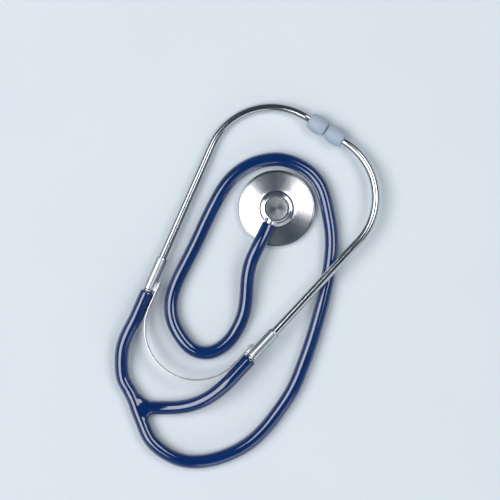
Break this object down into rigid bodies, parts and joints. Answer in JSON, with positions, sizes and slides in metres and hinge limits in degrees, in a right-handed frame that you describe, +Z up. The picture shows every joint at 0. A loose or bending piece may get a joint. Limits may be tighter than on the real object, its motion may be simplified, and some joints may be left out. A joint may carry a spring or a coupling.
{
  "type": "toy stethoscope",
  "caption": "Working toy stethoscope: single-head metal chestpiece, looped Y hose, leaf spring, and bent metal ear tubes with soft ear tips.",
  "frame": {"origin": "centre of the chestpiece's listening face, on the surface that the stethoscope lies on", "axes": "+Z up from that surface, +Y along the length of the laid-out stethoscope towards the ear tips"},
  "size_m": [0.1582, 0.2183, 0.0178],
  "materials": {
    "head_metal": "bright lathe-turned aluminium with fine ring marks",
    "stem_metal": "plated pipe",
    "diaphragm_plastic": "thin pale plastic disc",
    "rim_metal": "polished rolled ring",
    "hose": "glossy navy blue soft hose",
    "spring_steel": "thin plated spring steel strip",
    "clip_steel": "rolled plated sheet, satin",
    "ear_tube_metal": "bright plated bent pipe",
    "ear_tip": "soft matt pale grey moulding"
  },
  "bodies": {
    "tubing": {"tube_head_end": "hose", "main_tube": "hose", "y_junction": "hose", "left_branch_tube": "hose", "right_branch_tube": "hose", "binaural_spring": "spring_steel"},
    "chestpiece": {"chestpiece_head": "head_metal", "chestpiece_stem": "stem_metal", "diaphragm": "diaphragm_plastic", "retaining_rim": "rim_metal"},
    "left_branch": {"left_tube_end": "hose", "left_spring_clip": "clip_steel"},
    "right_branch": {"right_tube_end": "hose", "right_spring_clip": "clip_steel"},
    "left_arm": {"left_binaural_tube": "ear_tube_metal"},
    "right_arm": {"right_binaural_tube": "ear_tube_metal"},
    "left_tip": {"left_ear_tip": "ear_tip"},
    "right_tip": {"right_ear_tip": "ear_tip"}
  },
  "joints": [
    {"name": "chestpiece_swivel", "type": "hinge", "parent": "tubing", "child": "chestpiece", "pos_m": [0, 0, 0.0108], "axis": [-0.4384, -0.8988, 0], "range_deg": [-90, 90]},
    {"name": "left_arm_spread", "type": "hinge", "parent": "tubing", "child": "left_branch", "pos_m": [-0.0645, -0.097, 0.01174], "axis": [0, 0, 1], "range_deg": [0, 25], "stiffness_Nm_per_rad": 1.5, "deforming": ["left_branch_tube", "binaural_spring"]},
    {"name": "right_arm_spread", "type": "hinge", "parent": "tubing", "child": "right_branch", "pos_m": [-0.0645, -0.097, 0.01174], "axis": [0, 0, -1], "range_deg": [0, 25], "stiffness_Nm_per_rad": 1.5, "deforming": ["right_branch_tube", "binaural_spring"]},
    {"name": "left_arm_twist", "type": "hinge", "parent": "left_branch", "child": "left_arm", "pos_m": [-0.07709, -0.04966, 0.00811], "axis": [-0.4008, -0.915, 0.0454], "range_deg": [0, 60]},
    {"name": "right_arm_twist", "type": "hinge", "parent": "right_branch", "child": "right_arm", "pos_m": [-0.01598, -0.08951, 0.0131], "axis": [0.6795, 0.7333, -0.0226], "range_deg": [0, 60]},
    {"name": "left_tip_turn", "type": "hinge", "parent": "left_arm", "child": "left_tip", "pos_m": [0.01998, 0.0531, 0.005], "axis": [0.8357, -0.5449, 0.0683], "continuous": true},
    {"name": "right_tip_turn", "type": "hinge", "parent": "right_arm", "child": "right_tip", "pos_m": [0.03945, 0.0404, 0.0066], "axis": [-0.8357, 0.5449, -0.0683], "continuous": true}
  ]
}
